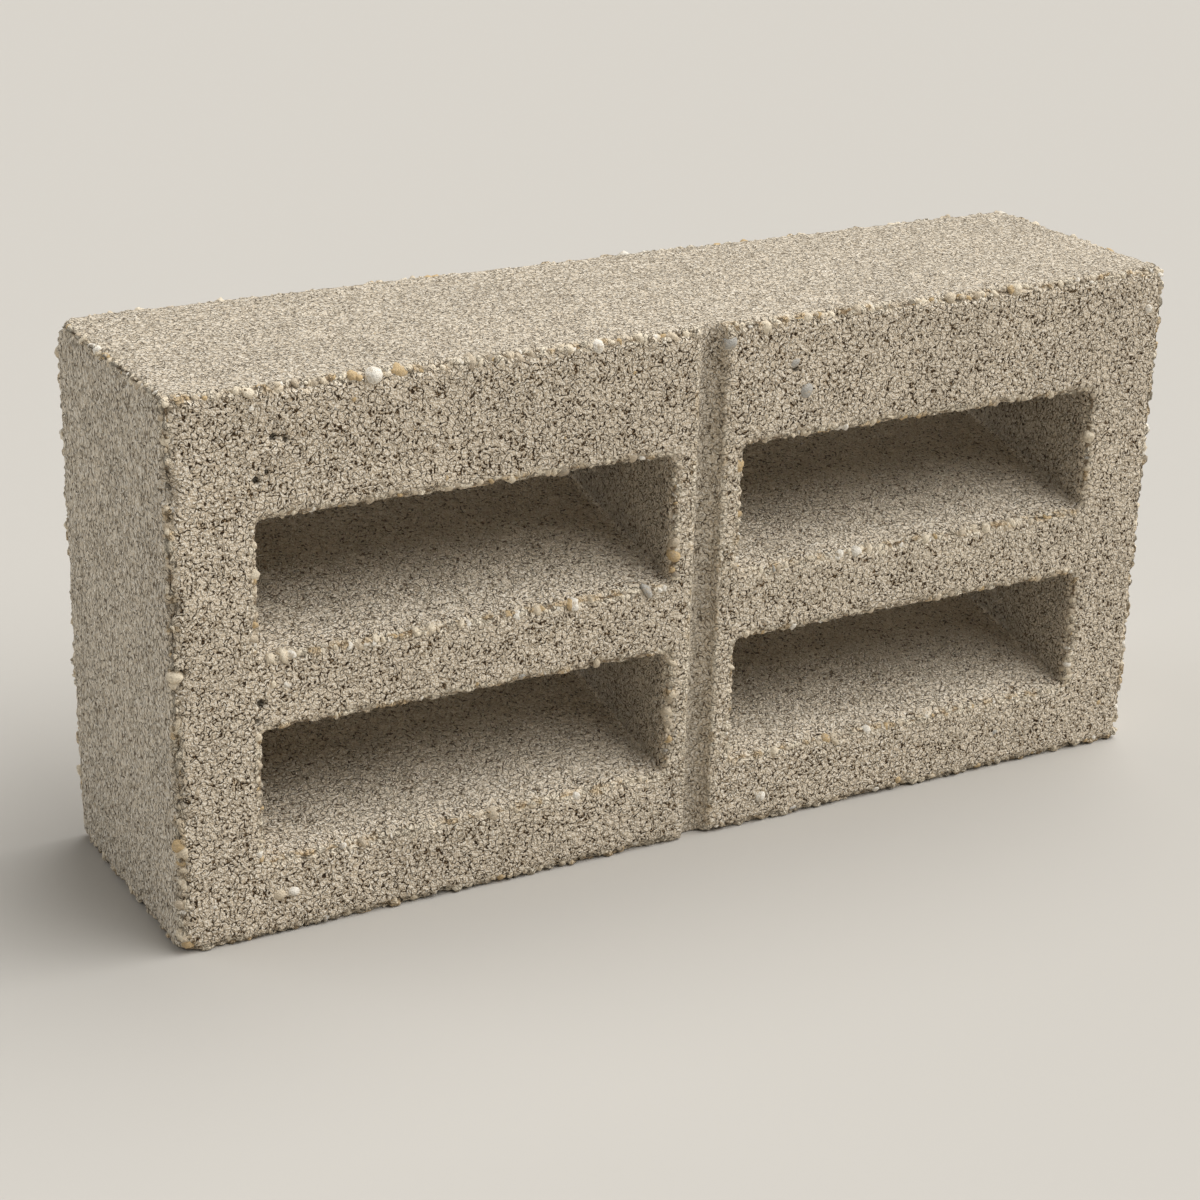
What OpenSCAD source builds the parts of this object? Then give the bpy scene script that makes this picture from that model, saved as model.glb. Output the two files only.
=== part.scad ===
// Concrete ventilation block, cast in one piece.
// Two columns of two slots run through it from the grooved front face to the back.
// Each slot has a sill that falls to the front, so that rain runs out again.
// The frame has X along the length, Y from front to back and Z up,
// with the origin in the middle of the face that the block stands on.

/* [Block] */
// Length of the block, end to end
block_l = 390; // [330:1:460]
// Height of the block as it stands
block_h = 190; // [175:1:250]
// Thickness from the front face to the back face
block_t = 100; // [70:1:150]
// Radius of the rounded outer edges
arris_r = 2; // [1:0.5:6]

/* [Slots] */
// Solid wall at each end of the block
end_wall = 30; // [20:1:50]
// Solid web between the two columns of slots
centre_web = 28; // [22:1:50]
// Solid rail below the lower row of slots, at the front
bottom_rail = 28; // [20:1:40]
// Solid rail between the two rows of slots, at the front
middle_rail = 26; // [18:1:36]
// Height of a slot at the front
mouth_h = 46; // [36:1:50]
// Height of a slot at the back
vent_h = 18; // [14:1:30]
// How far each end and the top of a slot close in from front to back
core_draft = 2; // [0.5:0.5:5]
// Radius of the corners of a slot
slot_r = 1.5; // [1:0.5:6]
// Width of the eased edge round both openings of a slot
mouth_ease = 1; // [0.5:0.5:3]

/* [Groove] */
// Width of the upright groove in the front face
groove_w = 10; // [6:0.5:14]
// Depth of the upright groove
groove_d = 5; // [2:0.5:6]

/* [Hidden] */

concrete = [0.66, 0.62, 0.55];
sides = [-1, 1];
rows = [0, 1];

// Cuts reach this far past a face
overcut = 2;
// Thickness of the two end plates that a slot is drawn between
plate_t = 0.01;

slot_w = (block_l - 2 * end_wall - centre_web) / 2;
slot_x = (slot_w + centre_web) / 2;
row_pitch = mouth_h + middle_rail;
sill_rise = mouth_h - vent_h - core_draft;
front_y = -block_t / 2;
// A round cutter of this radius leaves the groove's width and depth
groove_r = (pow(groove_w / 2, 2) + pow(groove_d, 2)) / (2 * groove_d);

// A slot's section at a depth behind the front face, measured from its front sill
function taper(front, back, depth) = front + (back - front) * depth / block_t;
function section_w(depth) = taper(slot_w, slot_w - 2 * core_draft, depth);
function section_h(depth) = taper(mouth_h, vent_h, depth);
function section_sill(depth) = taper(0, sill_rise, depth);

// Rectangle with rounded corners, centred on the origin
module rounded_rectangle(width, height, radius) {
    square([width - 2 * radius, height], center = true);
    square([width, height - 2 * radius], center = true);
    for (x = sides, y = sides)
        translate([x * (width / 2 - radius), y * (height / 2 - radius)])
            circle(r = radius);
}

// Prism along Z of a rounded rectangle, centred on the origin
module rounded_prism(width, height, radius, length) {
    linear_extrude(length, center = true)
        rounded_rectangle(width, height, radius);
}

// The block before it is cored: a box with every outer edge rounded
module rounded_box() {
    long = 2 * max(block_l, block_h, block_t);
    translate([0, 0, block_h / 2]) intersection() {
        rounded_prism(block_l, block_t, arris_r, long, $fn = 32);
        rotate([90, 0, 0]) rounded_prism(block_l, block_h, arris_r, long, $fn = 32);
        rotate([90, 0, 90]) rounded_prism(block_t, block_h, arris_r, long, $fn = 32);
    }
}

// A slot's section stood upright, facing the front, at a depth behind the front face
module place_section(depth) {
    translate([0, front_y + depth, section_sill(depth) + section_h(depth) / 2])
        rotate([90, 0, 0]) children();
}

module section_plate(depth) {
    place_section(depth) linear_extrude(plate_t, center = true)
        rounded_rectangle(section_w(depth), section_h(depth), slot_r, $fn = 28);
}

// Flare that eases the edge of a slot's opening. It starts at a depth, narrower than the slot,
// and widens outwards through the slot's walls. Outwards is 1 at the front and -1 at the back.
module eased_edge(depth, outwards) {
    reach = 2 * mouth_ease + overcut;
    width = section_w(depth) - 2 * mouth_ease;
    height = section_h(depth) - 2 * mouth_ease;
    place_section(depth) mirror([0, 0, outwards > 0 ? 0 : 1])
        linear_extrude(reach, scale = [(width + 2 * reach) / width, (height + 2 * reach) / height])
            rounded_rectangle(width, height, slot_r, $fn = 28);
}

// The core that forms one slot, standing on the level of its front sill
module slot_core() {
    hull() {
        section_plate(-overcut);
        section_plate(block_t + overcut);
    }
    eased_edge(2 * mouth_ease, 1);
    eased_edge(block_t - 2 * mouth_ease, -1);
}

// The upright groove that divides the front face into two squares
module groove_cut() {
    translate([0, front_y + groove_d - groove_r, -overcut])
        cylinder(r = groove_r, h = block_h + 2 * overcut, $fn = 64);
}

module block() {
    color(concrete) difference() {
        rounded_box();
        for (side = sides, row = rows)
            translate([side * slot_x, 0, bottom_rail + row * row_pitch])
                slot_core();
        groove_cut();
    }
}

block();
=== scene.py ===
import math

import bmesh
import bpy
import numpy as np
from mathutils import Matrix, Vector, noise


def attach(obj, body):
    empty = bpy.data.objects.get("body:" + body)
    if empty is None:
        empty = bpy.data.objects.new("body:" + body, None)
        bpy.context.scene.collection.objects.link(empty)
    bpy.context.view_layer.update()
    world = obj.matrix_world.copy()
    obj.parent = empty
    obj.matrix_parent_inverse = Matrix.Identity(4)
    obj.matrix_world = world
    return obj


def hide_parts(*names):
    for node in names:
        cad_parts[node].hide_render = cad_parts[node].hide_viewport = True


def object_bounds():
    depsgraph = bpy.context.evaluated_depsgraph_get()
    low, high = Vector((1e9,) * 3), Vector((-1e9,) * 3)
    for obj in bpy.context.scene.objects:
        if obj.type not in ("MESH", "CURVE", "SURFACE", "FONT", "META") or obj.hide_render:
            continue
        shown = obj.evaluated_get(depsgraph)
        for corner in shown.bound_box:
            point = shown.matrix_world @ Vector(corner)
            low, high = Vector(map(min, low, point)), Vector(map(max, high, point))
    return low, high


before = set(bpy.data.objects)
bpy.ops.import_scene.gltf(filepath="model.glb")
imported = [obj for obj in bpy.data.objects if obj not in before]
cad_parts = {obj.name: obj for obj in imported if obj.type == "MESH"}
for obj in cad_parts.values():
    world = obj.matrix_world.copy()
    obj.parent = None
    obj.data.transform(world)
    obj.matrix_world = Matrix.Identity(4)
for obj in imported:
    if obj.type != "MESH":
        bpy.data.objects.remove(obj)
cad_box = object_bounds()
scene = bpy.context.scene

# The cast block. It is one piece of open-textured concrete, rammed damp into a steel mould and
# stripped at once, so its faces are a crust of small stones in cement with gaps between them,
# and its edges come out crumbly.
half_length, half_depth, height = cad_box[1]
weld_gap = 1e-6
skin_step = 0.0009
skin_triangles = 192000

plain = bmesh.new()
plain.from_mesh(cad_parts["block"].data)
bmesh.ops.remove_doubles(plain, verts=plain.verts, dist=weld_gap)
block_mesh = bpy.data.meshes.new("block_body")
plain.to_mesh(block_mesh)
plain.free()
block_body = bpy.data.objects.new("block_body", block_mesh)
scene.collection.objects.link(block_body)


def settle(piece):
    """Turns a piece's modifiers into its own mesh."""
    graph = bpy.context.evaluated_depsgraph_get()
    shaped_mesh = bpy.data.meshes.new_from_object(piece.evaluated_get(graph))
    piece.modifiers.clear()
    piece.data = shaped_mesh
    shaped_mesh.name = piece.name
    return shaped_mesh


skin = block_body.modifiers.new("skin", "REMESH")
skin.mode = "VOXEL"
skin.voxel_size = skin_step
skin.adaptivity = 0
block_mesh = settle(block_body)


def column(parts, field, width):
    """One field of every vertex or edge of a mesh, as an array."""
    values = np.empty(len(parts) * width, np.int32 if field == "vertices" else np.float32)
    parts.foreach_get(field, values)
    return values.reshape(-1, width)


cast = column(block_mesh.vertices, "co", 3).astype(float)
outward = column(block_mesh.vertices, "normal", 3).astype(float)
ends = column(block_mesh.edges, "vertices", 2)
total = len(cast)
valence = np.bincount(ends.ravel(), minlength=total)


def rubbed(points, rounds):
    """Points moved to the middle of their neighbours, round after round, as wear rounds an edge."""
    for _ in range(rounds):
        pulled = np.empty_like(points)
        for axis in range(3):
            pulled[:, axis] = np.bincount(ends[:, 0], points[ends[:, 1], axis], total)
            pulled[:, axis] += np.bincount(ends[:, 1], points[ends[:, 0], axis], total)
        points = pulled / valence[:, None]
    return points


def ramp(values, low, high):
    """0 below low, 1 above high and smooth between."""
    part = np.clip((values - low) / (high - low), 0, 1)
    return part * part * (3 - 2 * part)


def within(distance, full, none):
    """1 nearer than full, 0 farther than none and smooth between."""
    return ramp(-distance, -none, -full)


# How near each point is to an edge, which shows in how far wear pulls it in.
wear_rounds = 30
chip_rounds = 110
least_pull = 0.0002
full_pull = 0.0010
worn = rubbed(cast, wear_rounds)
chipped = rubbed(worn, chip_rounds)
edge = ramp(((cast - worn) * outward).sum(1), least_pull, full_pull)

# Which face each point lies on: the top, an end, the inside of a slot, or the groove and its edges.
facing = (0.6, 0.9)
face_near = 0.002
face_far = 0.006
slot_zone = (0.002, 0.007)
groove_floor = (0.0050, 0.0062)
groove_edges = (0.0070, 0.0085)
groove_front = (0.042, 0.044)
off_centre = np.abs(cast[:, 0])
above = cast[:, 2]
facing_end = np.abs(outward[:, 0])
facing_up = outward[:, 2]
on_top = ramp(facing_up, *facing) * ramp(above, height - face_far, height - face_near)
on_end = ramp(facing_end, *facing) * ramp(off_centre, half_length - face_far, half_length - face_near)
inward = np.minimum(half_length - off_centre, half_depth - np.abs(cast[:, 1]))
inward = np.minimum(inward, np.minimum(above, height - above))
in_slot = ramp(inward, *slot_zone)
at_front = ramp(-cast[:, 1], *groove_front)
by_groove = within(off_centre, *groove_edges) * at_front
in_groove = within(off_centre, *groove_floor) * at_front

# Along the edges small stones stand out like crumbs, with seams between them, and some are gone.
# Each crumb draws its own size and luck from its place, and wear comes in long and short stretches.
crumb_size = 0.0036
wander_size = 0.0022
wander_reach = 0.0007
long_size = 0.016
short_size = 0.0055
long_offset = Vector((7, 3, 1))
short_offset = Vector((2, 9, 4))
place_weights = (12.9, 78.2, 37.7)
size_weight = 43.7
luck_weight = 91.3
any_edge = 0.01
noise.seed_set(41)
from_seam, crumb_draw, long_wear, short_wear, luck_draw = np.zeros((5, total))
for i in np.flatnonzero(edge > any_edge):
    spot = Vector(cast[i])
    wander = noise.noise_vector(spot / wander_size) * wander_reach
    far, cells = noise.voronoi((spot + wander) / crumb_size)
    key = abs(sum(part * weight for part, weight in zip(cells[0], place_weights)))
    from_seam[i] = far[1] - far[0]
    crumb_draw[i] = math.modf(key * size_weight)[0]
    long_wear[i] = noise.noise(spot / long_size + long_offset)
    short_wear[i] = noise.noise(spot / short_size + short_offset)
    luck_draw[i] = math.modf(key * luck_weight)[0]

# The outer edges take the most wear, the edges of the slots less, and those of the groove stay smooth.
outer_near = 0.004
outer_far = 0.008
groove_smooth = 0.9
mouth_spared = 0.6
mouth_low = 0.45
least_rub = 0.10
worst_rub = 0.35
groove_rub = 0.05
chip_share = 0.5
half_height = height / 2
off_middle = np.abs(above - half_height)
outer = np.maximum(ramp(off_centre, half_length - outer_far, half_length - outer_near),
                   ramp(off_middle, half_height - outer_far, half_height - outer_near))
at_mouth = 1 - outer
crisp = edge * (1 - groove_smooth * by_groove)
spared = 1 - mouth_spared * at_mouth
rub = edge * (least_rub + worst_rub * ramp(long_wear + 0.5 * short_wear, -0.3, 0.6)) * spared
rub += edge * groove_rub * by_groove
bite = crisp * ramp(long_wear + 0.6 * short_wear, 0.42, 0.80) * spared

# The relief of the skin: a slight swell of the faces, and the crumbs and lost crumbs of the edges.
swell_size = 0.045
swell_height = 0.00018
crown_height = 0.0013
crown_level = 0.78
crumb_height = 0.0011
loss_depth = 0.0016
tallest_lump = 0.0005
crown = ramp(from_seam, 0.0, 0.42)
gone = ramp(luck_draw + 0.45 * long_wear, 0.84, 0.94)
swell = np.array([noise.noise(Vector(place) / swell_size) for place in cast])
rise = swell_height * swell * (1 - edge)
lumps = crown_height * (crown - crown_level) + crumb_height * (crumb_draw - 0.50) - loss_depth * gone
rise += crisp * (1 - mouth_low * at_mouth) * np.minimum(lumps, tallest_lump)
shaped = cast + (worn - cast) * rub[:, None] + (chipped - cast) * (chip_share * bite)[:, None]
shaped += outward * rise[:, None]

# Two blunt corners: where each is and how far the wear reaches, in millimetres.
millimetre = 0.001
corner_wear = 0.45
corner_core = 0.2
cast_mm = cast * 1000
for *corner, reach in ((-195, 50, 190, 6), (-195, -50, 0, 8)):
    far = np.linalg.norm(cast_mm - corner, axis=1)
    shaped += (chipped - shaped) * (corner_wear * within(far, corner_core * reach, reach))[:, None]

# The chips and deep pits of the front: where each is, how far it reaches and how deep it is.
ragged = 0.3
painted_pit_shade = np.zeros(total)
for *pit, reach, depth in (
        (-195, -50, 160.0, 6.0, 2.8),
        (-194, -50, 122.5, 4.2, 2.6),
        (-195, -50, 55.0, 5.5, 2.0),
        (-100, -50, 0.0, 4.0, 1.8),
        (-191.5, -50, 99.6, 1.7, 2.2),
        (-165.0, -50, 84.4, 1.8, 2.4),
        (-166.5, -50, 78.6, 1.3, 1.4),
        (-164.9, -50, 159.6, 1.6, 2.2),
        (-161.5, -50, 162.0, 1.2, 1.3),
        (-159.0, -50, 173.0, 1.5, 1.7),
        (-155.0, -50, 171.5, 1.3, 1.6),
        (-67.6, -50, 102.5, 1.7, 2.0),
        (33.0, -50, 171.0, 1.5, 1.6)):
    far = np.linalg.norm(cast_mm - pit, axis=1) / reach * (1 + ragged * short_wear)
    bowl = within(far, 0.5, 1.0)
    shaped -= outward * (millimetre * depth * bowl)[:, None]
    # How much painted shade each pit or chip gets in its colour, more where it is deep for its width.
    painted_pit_shade = np.maximum(painted_pit_shade, bowl * min(1.0, depth / reach))
shaped[:, 2] = np.maximum(shaped[:, 2], 0)
block_mesh.vertices.foreach_set("co", shaped.astype(np.float32).ravel())

# What the concrete needs to know of each point, kept on the mesh: the sills are the floors of the slots,
# which get a painted light, and the rest of the inside of the slots gets a painted shade.
sill = in_slot * ramp(facing_up, 0.3, 0.8)
zones = {
    "edge": edge * (1 - 0.4 * by_groove),
    "notch": crisp * np.maximum(1 - crown, 0.7 * gone),
    # crumb tone along the edges, raised on the up-facing edges of the slot mouths as a painted highlight
    # where they catch the light
    "crumb_and_sill_edge_light": np.minimum(crumb_draw + 0.3 * at_mouth * ramp(facing_up, 0.1, 0.5), 0.95),
    "slot": np.maximum(in_slot, in_groove),
    "painted_pit_shade": painted_pit_shade,
    "top": on_top,
    "end": on_end,
    "sill": sill,
    "wall": in_slot - sill}
for name, values in zones.items():
    layer = block_mesh.attributes.new(name, "FLOAT", "POINT")
    layer.data.foreach_set("value", values.astype(np.float32))
block_mesh.update()
trim = block_body.modifiers.new("trim", "DECIMATE")
trim.ratio = skin_triangles / (2 * len(block_mesh.polygons))
block_mesh = settle(block_body)
block_mesh.polygons.foreach_set("use_smooth", [True] * len(block_mesh.polygons))


class Recipe:
    """The node tree of one material, made up a step at a time from sockets."""

    def __init__(self, name):
        self.material = bpy.data.materials.new(name)
        self.material.use_nodes = True
        self.tree = self.material.node_tree
        self.shader = self.tree.nodes["Principled BSDF"]
        self.shader.inputs["Specular IOR Level"].default_value = 0.25

    def add(self, kind, values, **settings):
        """A new node with its settings, and with values or other nodes' sockets on its inputs."""
        made = self.tree.nodes.new(kind)
        for field, setting in settings.items():
            setattr(made, field, setting)
        for socket, value in values.items():
            self.feed(made.inputs[socket], value)
        return made

    def feed(self, socket, value):
        if isinstance(value, bpy.types.NodeSocket):
            self.tree.links.new(value, socket)
        else:
            socket.default_value = value

    def maths(self, operation, first, second=0.0):
        return self.add("ShaderNodeMath", {0: first, 1: second}, operation=operation).outputs[0]

    def place(self, stretch=(1, 1, 1)):
        """Where a point is on the block, in millimetres."""
        here = self.add("ShaderNodeTexCoord", {}).outputs["Object"]
        scale = Vector(stretch) * 1000
        return self.add("ShaderNodeVectorMath", {0: here, 1: scale}, operation="MULTIPLY").outputs[0]

    def grain(self, where, size, detail=1.0, roughness=0.5, output="Fac"):
        """Cloudy noise with lumps of a size in millimetres."""
        values = {"Vector": where, "Scale": 1 / size, "Detail": detail, "Roughness": roughness}
        return self.add("ShaderNodeTexNoise", values).outputs[output]

    def between(self, value, low, high, start=0.0, end=1.0, kind="SMOOTHSTEP"):
        """Start below low, end above high and smooth between."""
        values = {"Value": value, "From Min": low, "From Max": high, "To Min": start, "To Max": end}
        return self.add("ShaderNodeMapRange", values, interpolation_type=kind).outputs[0]

    def blend(self, amount, first, second, mode="MIX"):
        made = self.add("ShaderNodeMix", {"Factor": amount}, data_type="RGBA", blend_type=mode)
        self.feed(made.inputs[6], first)
        self.feed(made.inputs[7], second)
        return made.outputs[2]

    def grey(self, value):
        return self.add("ShaderNodeCombineColor", {0: value, 1: value, 2: value}).outputs[0]

    def layer(self, name):
        """What the mesh keeps for each point under a name."""
        return self.add("ShaderNodeAttribute", {}, attribute_name=name).outputs["Fac"]

    def finish(self, colour, roughness, lift, depth):
        self.feed(self.shader.inputs["Base Color"], colour)
        self.feed(self.shader.inputs["Roughness"], roughness)
        bump = self.add("ShaderNodeBump", {"Height": lift, "Distance": depth, "Strength": 1.0})
        self.feed(self.shader.inputs["Normal"], bump.outputs[0])
        return self.material


# Its concrete: warm grey cement over small stones, with short brown-black gaps between them, a finer and
# greyer skin on the top, on the ends and in the slots, and cream and ochre edges. The darkness of the
# gaps is partly their own colour and partly painted shade. The palest tone, on the raised specks, is
# partly a painted highlight. The paleness of the edges is partly a painted highlight where the arrises
# catch the light.
gap_shade = (0.032, 0.017, 0.006, 1)
gap_side = (0.22, 0.138, 0.066, 1)
cement = (0.58, 0.470, 0.328, 1)
stone_face = (0.72, 0.603, 0.447, 1)
crest_and_painted_highlight = (0.98, 0.900, 0.765, 1)
cream = (0.92, 0.815, 0.63, 1)
ochre = (0.70, 0.52, 0.30, 1)
skin_tint = (0.965, 1.0, 1.05, 1)
top_tint = (0.90, 0.895, 0.885, 1)
end_stretch = (1, 1, 0.75)

mix = Recipe("concrete")
at_edge = mix.layer("edge")
at_end = mix.layer("end")
at_top = mix.layer("top")
fine_skin = mix.maths("MAXIMUM", at_top, mix.layer("slot"))
where = mix.add("ShaderNodeMix", {"Factor": at_end}, data_type="VECTOR")
mix.feed(where.inputs[4], mix.place())
mix.feed(where.inputs[5], mix.place(end_stretch))
where = where.outputs[1]

# The gaps run in short curls, along the lines where a bent noise is at its middle value, and stay
# open only where a second noise leaves them so. Sizes are in millimetres.
curl_size = 1.6
curl_reach = 2.5
seam_size = 2.15
loose_size = 1.25
fine_size = 0.55
patch_size = 7
broad_size = 35
middle = (0.5, 0.5, 0.5)
skin_tightness = 0.065
end_tightness = 0.02
patch_tightness = 0.05
fine_contrast = 0.34
calm_share = 0.22
slot_grey = 0.45
curl = mix.grain(where, curl_size, 0, 0.5, "Color")
curl = mix.add("ShaderNodeVectorMath", {0: curl, 1: middle}, operation="SUBTRACT").outputs[0]
bend = {0: curl, 1: (curl_reach, curl_reach, curl_reach), 2: where}
bent = mix.add("ShaderNodeVectorMath", bend, operation="MULTIPLY_ADD").outputs[0]
seam = mix.maths("ABSOLUTE", mix.maths("SUBTRACT", mix.grain(bent, seam_size, 0), 0.5))
loose = mix.grain(where, loose_size, 0)
fine = mix.grain(where, fine_size, 0)
patch = mix.grain(where, patch_size, 0)
broad = mix.grain(where, broad_size, 3, 0.6)
tight = mix.maths("MULTIPLY", fine_skin, skin_tightness)
tight = mix.maths("ADD", tight, mix.maths("MULTIPLY", at_end, end_tightness))
patchy = mix.between(patch, 0.3, 0.7, -patch_tightness, patch_tightness, "LINEAR")
tight = mix.maths("ADD", tight, patchy)
shut = mix.between(mix.maths("SUBTRACT", loose, tight), 0.54, 0.475, 0.0, 0.62)
level = mix.maths("MAXIMUM", mix.between(seam, 0.026, 0.07, 0.0, 0.75), shut)
level = mix.maths("ADD", level, mix.between(fine, 0.2, 0.8, -fine_contrast, fine_contrast, "LINEAR"))
# The tones run from painted shade in the sunk seams, through the cement and stone colours, to a pale
# crest that is partly a painted highlight on the raised specks.
tones = mix.add("ShaderNodeValToRGB", {0: level})
stops = tones.color_ramp.elements
stops[0].position = 0.0
stops[0].color = gap_shade
stops[1].position = 0.22
stops[1].color = gap_side
stops.new(0.42).color = cement
stops.new(0.70).color = stone_face
stops.new(1.0).color = crest_and_painted_highlight
colour = tones.outputs[0]
calm = mix.maths("MULTIPLY", mix.maths("MAXIMUM", fine_skin, at_end), calm_share)
colour = mix.blend(calm, colour, stone_face)
grey_skin = mix.maths("MAXIMUM", mix.maths("MULTIPLY", fine_skin, slot_grey), at_end)
colour = mix.blend(grey_skin, colour, mix.blend(1.0, colour, skin_tint, "MULTIPLY"))
colour = mix.blend(at_top, colour, mix.blend(1.0, colour, top_tint, "MULTIPLY"))

# The crumbs of the edges are paler than the faces, some of them ochre. The paleness is partly their own
# colour and partly a painted highlight. Between them are dark notches that are partly painted shade. The
# pits and chips get a painted shade. The sills of the slots get a painted light that makes them a little
# paler than the faces, and the walls of the slots get a painted shade that makes them darker.
painted_pit_shade_factor = 0.30
sill_shade = 1.12
wall_shade = 0.80
# The paler crumb tone is partly the edge stones' own cream and ochre and partly a painted highlight
# along the arrises.
crumb_and_sill_edge_light = mix.layer("crumb_and_sill_edge_light")
crumb_tone_and_highlight = mix.blend(mix.between(crumb_and_sill_edge_light, 0.15, 0.60), stone_face, cream)
crumb_tone_and_highlight = mix.blend(mix.between(crumb_and_sill_edge_light, 0.80, 0.88), crumb_tone_and_highlight, ochre)
crumb_speck = mix.grey(mix.between(fine, 0.25, 0.75, 0.80, 1.12))
crumb_tone_and_highlight = mix.blend(1.0, crumb_tone_and_highlight, crumb_speck, "MULTIPLY")
crumb_share = mix.maths("MULTIPLY", at_edge, mix.between(loose, 0.40, 0.55, 0.90, 0.55))
colour = mix.blend(crumb_share, colour, crumb_tone_and_highlight)
# Dark notches between the crumbs and in the sockets of lost crumbs: partly painted shade in these
# recesses.
colour = mix.blend(mix.between(mix.layer("notch"), 0.62, 0.95, 0.0, 0.75), colour, gap_side)
shade = mix.between(broad, 0.3, 0.7, 0.95, 1.05)
# Painted shade in the pits and on the walls of the slots, and painted light on the sills, multiplied
# into the colour.
for zone, factor in (("painted_pit_shade", painted_pit_shade_factor), ("sill", sill_shade), ("wall", wall_shade)):
    shade = mix.maths("MULTIPLY", shade, mix.between(mix.layer(zone), 0, 1, 1.0, factor))
colour = mix.blend(1.0, colour, mix.grey(shade), "MULTIPLY")

# Its relief, finer than the mesh: sunk seams, raised specks and loose hollows.
relief_depth = 0.001
speck_lift = 0.7
loose_drop = 1.3
lift = mix.between(seam, 0.0, 0.10, 0.0, 1.0)
lift = mix.maths("ADD", lift, mix.maths("MULTIPLY", fine, speck_lift))
lift = mix.maths("SUBTRACT", lift, mix.maths("MULTIPLY", loose, loose_drop))
roughness = mix.between(fine, 0.2, 0.8, 0.86, 0.97)
concrete = mix.finish(colour, roughness, lift, relief_depth)

block_mesh.materials.clear()
block_mesh.materials.append(concrete)
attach(block_body, "root")
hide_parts("block")

# The stones that show in the crust: small crushed gravel, most of it along the crumbly edges, where
# the mould tears the cement away, and a few larger rounded pebbles in the front. They are bedded in
# the cement, which leaves a dusty coat on them.
chance = np.random.default_rng(41)
stone_colours = np.array([
    (0.60, 0.505, 0.375, 1),
    (0.70, 0.595, 0.44, 1),
    (0.82, 0.715, 0.545, 1),
    (0.90, 0.84, 0.73, 1),
    (0.60, 0.44, 0.24, 1),
    (0.38, 0.32, 0.24, 1),
    (0.50, 0.475, 0.425, 1)])
dust_size = 1.6
speck_size = 0.6
dust_share = 0.7
gravel_relief = 0.0004

grit = Recipe("gravel")
tint = grit.add("ShaderNodeAttribute", {}, attribute_name="tint").outputs["Color"]
dust = grit.grain(grit.place(), dust_size, 3, 0.6)
speck = grit.grain(grit.place(), speck_size, 2, 0.6)
coat = grit.blend(grit.between(dust, 0.52, 0.66, 0.0, dust_share), tint, cement)
coat = grit.blend(1.0, coat, grit.grey(grit.between(speck, 0.25, 0.75, 0.80, 1.15)), "MULTIPLY")
gravel = grit.finish(coat, grit.between(dust, 0.3, 0.7, 0.75, 0.95), speck, gravel_relief)


def one_in_each(places, chosen, spacing):
    """Picks one of the chosen points from each cube of a size, so that stones don't crowd."""
    order = chance.permutation(np.flatnonzero(chosen))
    cubes = np.floor(places[order] / spacing).astype(np.int64)
    codes = cubes[:, 0] * 73856093 + cubes[:, 1] * 19349663 + cubes[:, 2] * 83492791
    return order[np.unique(codes, return_index=True)[1]]


def stones(name, spots, radii, sunk, colours, roundness, chipping, flattest):
    """A joined mesh of stones, each bedded in the surface and with a colour of its own."""
    lump = bmesh.new()
    bmesh.ops.create_icosphere(lump, subdivisions=roundness, radius=1)
    corners = np.array([v.co for v in lump.verts])
    sides = np.array([[v.index for v in f.verts] for f in lump.faces])
    lump.free()
    count = len(spots)
    axes = np.linalg.qr(chance.normal(size=(count, 3, 3)))[0]
    squash = chance.uniform(flattest, 1.35, (count, 1, 3))
    chips = chance.uniform(1 - chipping, 1 + chipping, (count, len(corners), 1))
    bodies = np.einsum("nij,nkj->nki", axes, corners[None] * chips * squash) * radii[:, None, None]
    bodies += (shaped[spots] - outward[spots] * (sunk * radii)[:, None])[:, None]
    bodies[:, :, 2] = np.maximum(bodies[:, :, 2], 0)
    faces = sides[None] + (np.arange(count) * len(corners))[:, None, None]
    mesh = bpy.data.meshes.new(name)
    mesh.from_pydata(bodies.reshape(-1, 3).tolist(), [], faces.reshape(-1, 3).tolist())
    mesh.polygons.foreach_set("use_smooth", [True] * len(mesh.polygons))
    tint = mesh.attributes.new("tint", "FLOAT_COLOR", "POINT")
    tint.data.foreach_set("color", np.repeat(colours, len(corners), 0).astype(np.float32).ravel())
    piece = bpy.data.objects.new(name, mesh)
    scene.collection.objects.link(piece)
    mesh.materials.append(gravel)
    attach(piece, "root")
    return piece


# The gravel along the edges, none of it where the block stands.
bed_clear = 0.0015
edge_spacing = 0.0032
edge_kept = 0.7
edge_share = (0.18, 0.26, 0.30, 0.12, 0.10, 0.03, 0.01)
above_bed = above > bed_clear
along_edges = one_in_each(shaped, (crisp > 0.5) & above_bed, edge_spacing)
along_edges = along_edges[chance.random(len(along_edges)) < edge_kept]
count = len(along_edges)
size = 0.0008 + 0.0018 * chance.beta(1.1, 2.6, count)
pick = stone_colours[chance.choice(len(stone_colours), count, p=edge_share)]
sunk = chance.uniform(0.68, 0.95, count)
stones("edge_stones", along_edges, size, sunk, pick, roundness=2, chipping=0.20, flattest=0.50)

# The gravel in the faces, most of it in the front and the back.
face_spacing = 0.0055
face_kept = 0.22
fine_skin_loss = 0.17
face_share = (0.45, 0.22, 0.15, 0.08, 0.04, 0.04, 0.02)
over_faces = one_in_each(shaped, (crisp < 0.3) & above_bed & (in_groove < 0.1), face_spacing)
kept = face_kept - fine_skin_loss * np.maximum(on_top, np.maximum(on_end, in_slot))[over_faces]
over_faces = over_faces[chance.random(len(over_faces)) < kept]
count = len(over_faces)
size = 0.0007 + 0.0013 * chance.beta(1.0, 3.5, count)
pick = stone_colours[chance.choice(len(stone_colours), count, p=face_share)]
sunk = chance.uniform(0.70, 0.95, count)
stones("face_stones", over_faces, size, sunk, pick, roundness=1, chipping=0.16, flattest=0.50)

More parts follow.
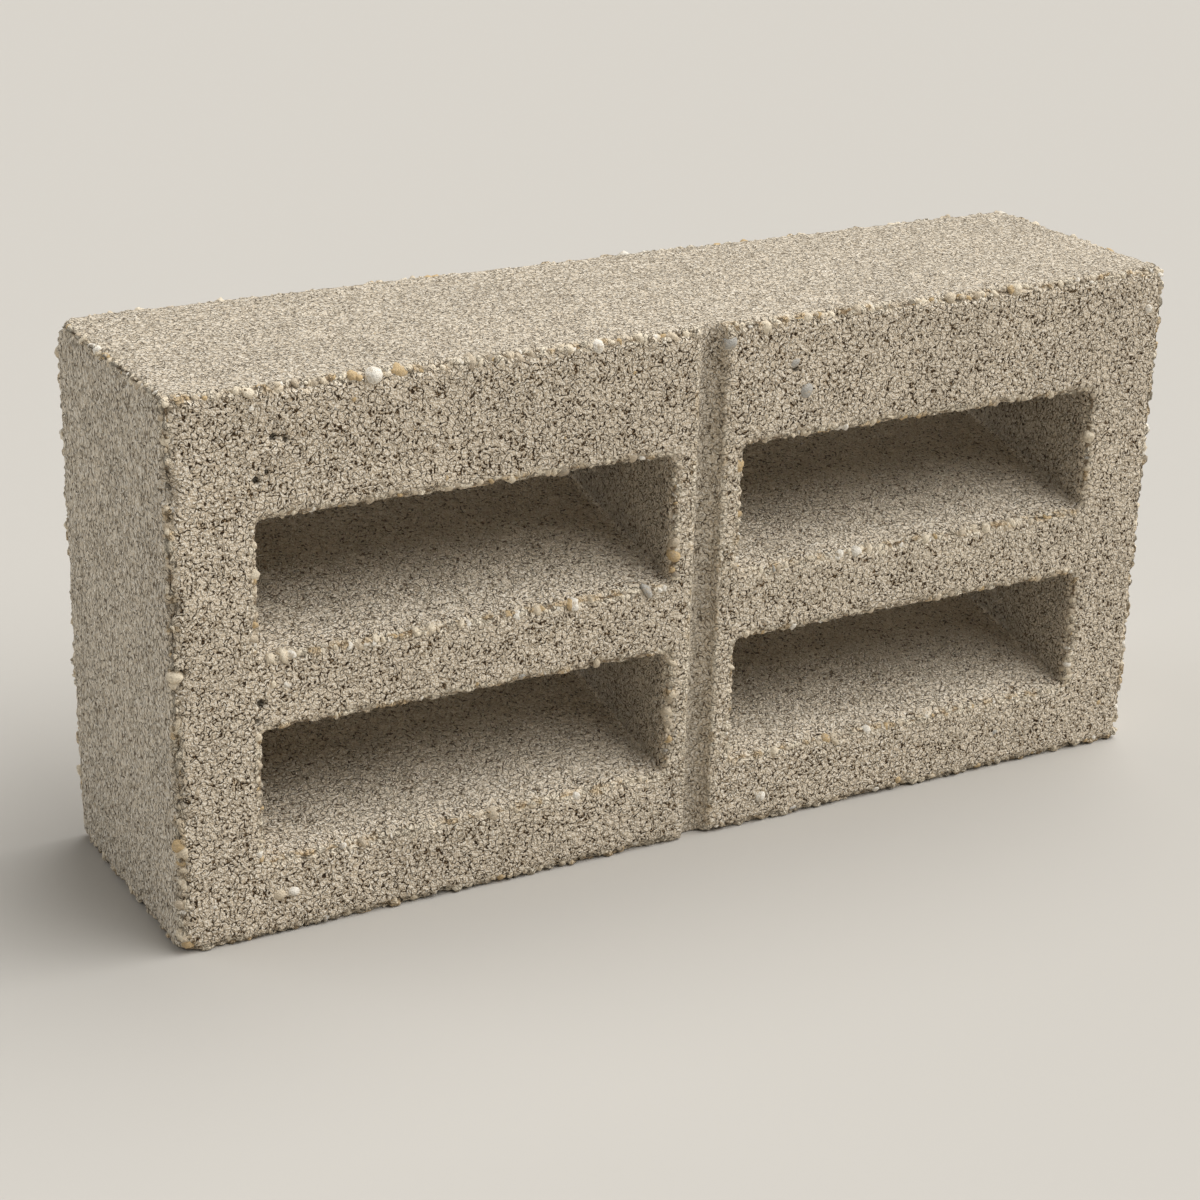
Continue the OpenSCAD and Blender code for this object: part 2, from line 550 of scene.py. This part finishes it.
# Where each pebble shows, in millimetres along and up the front, with its radius and colour.
# The grey ones lie deeper than the rest.
grey_stone = 6
grey_sunk = 0.74
pebble_sunk = 0.62
pebbles = np.array([
    (-124.7, 188.5, 2.6, 3),
    (-44.3, 188.0, 2.7, 3),
    (6.5, 182.8, 2.7, 6),
    (20.7, 187.0, 2.2, 2),
    (33.2, 173.5, 2.2, 6),
    (38.4, 162.1, 2.8, 6),
    (-165.9, 183.2, 1.3, 3),
    (-194.5, 175.5, 1.6, 2),
    (-194.5, 98.4, 2.2, 2),
    (-154.7, 100.8, 1.6, 3),
    (-161.3, 100.0, 1.7, 2),
    (-156.0, 89.4, 1.4, 3),
    (-160.8, 90.6, 1.3, 2),
    (-155.0, 14.7, 2.3, 3),
    (-161.0, 15.0, 2.2, 1),
    (-48.9, 27.0, 1.6, 3),
    (-14.0, 110.4, 2.2, 4),
    (-24.0, 2.6, 2.0, 3),
    (27.7, 10.6, 2.0, 3),
    (79.7, 2.4, 1.6, 3),
    (88.5, 4.5, 1.6, 4),
    (166.0, 36.0, 1.6, 3),
    (194.5, 12.9, 1.8, 3),
    (183.0, 17.6, 1.3, 4),
    (162.9, 75.5, 1.2, 3),
    (188.0, 175.0, 1.8, 3)])
pebble_spots = []
for along, high, _, _ in pebbles:
    miss = np.linalg.norm(cast_mm - (along, -1000 * half_depth, high), axis=1)
    pebble_spots.append(np.argmin(miss))
size = pebbles[:, 2] / 1000
pick = stone_colours[pebbles[:, 3].astype(int)]
sunk = np.where(pebbles[:, 3] == grey_stone, grey_sunk, pebble_sunk)
stones("pebbles", np.array(pebble_spots), size, sunk, pick, roundness=3, chipping=0.05, flattest=0.80)

# The pale studio floor that the block stands on: a sheet of matt paper, wide enough to fill the view.
floor_reach = 8
paper_colour = (0.536, 0.510, 0.466, 1)
floor_mesh = bpy.data.meshes.new("floor")
floor_corners = [(x * floor_reach, y * floor_reach, 0) for x, y in ((-1, -1), (1, -1), (1, 1), (-1, 1))]
floor_mesh.from_pydata(floor_corners, [], [(0, 1, 2, 3)])
floor = bpy.data.objects.new("floor", floor_mesh)
scene.collection.objects.link(floor)
paper = Recipe("floor_paper")
paper.shader.inputs["Base Color"].default_value = paper_colour
paper.shader.inputs["Roughness"].default_value = 1.0
paper.shader.inputs["Specular IOR Level"].default_value = 0.0
floor_mesh.materials.append(paper.material)

# Soft studio light: a weak even sky, and four broad lamps. Seen straight on, in a polished face or
# through glass, the sky is as pale as the floor, but it lights the block only weakly.
sky_colour = (1.0, 0.985, 0.96, 1)
sky_light = 0.16
sky_seen = 0.66
sky = bpy.data.worlds.new("studio")
sky.use_nodes = True
sky_nodes = sky.node_tree.nodes
sky_links = sky.node_tree.links
dome = sky_nodes["Background"]
dome.inputs["Color"].default_value = sky_colour
seen = sky_nodes.new("ShaderNodeLightPath")
mirrored = sky_nodes.new("ShaderNodeMath")
mirrored.operation = "MAXIMUM"
sky_links.new(seen.outputs["Is Glossy Ray"], mirrored.inputs[0])
sky_links.new(seen.outputs["Is Transmission Ray"], mirrored.inputs[1])
either = sky_nodes.new("ShaderNodeMath")
either.operation = "MAXIMUM"
sky_links.new(seen.outputs["Is Camera Ray"], either.inputs[0])
sky_links.new(mirrored.outputs[0], either.inputs[1])
glow = sky_nodes.new("ShaderNodeMapRange")
glow.inputs["To Min"].default_value = sky_light
glow.inputs["To Max"].default_value = sky_seen
sky_links.new(either.outputs[0], glow.inputs["Value"])
sky_links.new(glow.outputs[0], dome.inputs["Strength"])
scene.world = sky


def lamp(name, towards, strength, spread):
    """A broad lamp in a direction from the block; strength 1 lights a facing sheet to its own colour."""
    light = bpy.data.lights.new(name, "SUN")
    light.energy = strength * math.pi
    light.angle = math.radians(spread)
    made = bpy.data.objects.new(name, light)
    made.rotation_euler = Vector(towards).to_track_quat("Z", "Y").to_euler()
    scene.collection.objects.link(made)


# The key rakes the front from the right, the front lamp is high at the front right, the overhead one
# is high behind on the right, and a weak one behind on the left lights the end.
lamp("key", (0.776, -0.137, 0.616), 0.265, 40)
lamp("front", (0.378, -0.450, 0.809), 0.66, 50)
lamp("overhead", (0.407, 0.235, 0.883), 0.38, 40)
lamp("left", (-0.778, 0.449, 0.438), 0.24, 50)

# The camera, at the photograph's viewing angle, turned a little on its own axis.
azimuth = math.radians(-29.84)
elevation = math.radians(21.52)
tilt = math.radians(1.51)
distance = 0.9504
shift_right = 0.01195
shift_up = 0.01951
lens = 78.81
level_out = math.cos(elevation)
back = Vector((math.sin(azimuth) * level_out, -math.cos(azimuth) * level_out, math.sin(elevation)))
level_right = Vector((math.cos(azimuth), math.sin(azimuth), 0))
level_up = back.cross(level_right)
right = math.cos(tilt) * level_right + math.sin(tilt) * level_up
up = math.cos(tilt) * level_up - math.sin(tilt) * level_right
place = Vector((0, 0, half_height)) + back * distance - right * shift_right - up * shift_up
camera_data = bpy.data.cameras.new("camera")
camera_data.lens = lens
camera_data.sensor_width = 36
camera = bpy.data.objects.new("camera", camera_data)
turn = Matrix((right, up, back)).transposed().to_4x4()
camera.matrix_world = Matrix.Translation(place) @ turn
scene.collection.objects.link(camera)
scene.camera = camera
scene.view_settings.view_transform = "Standard"
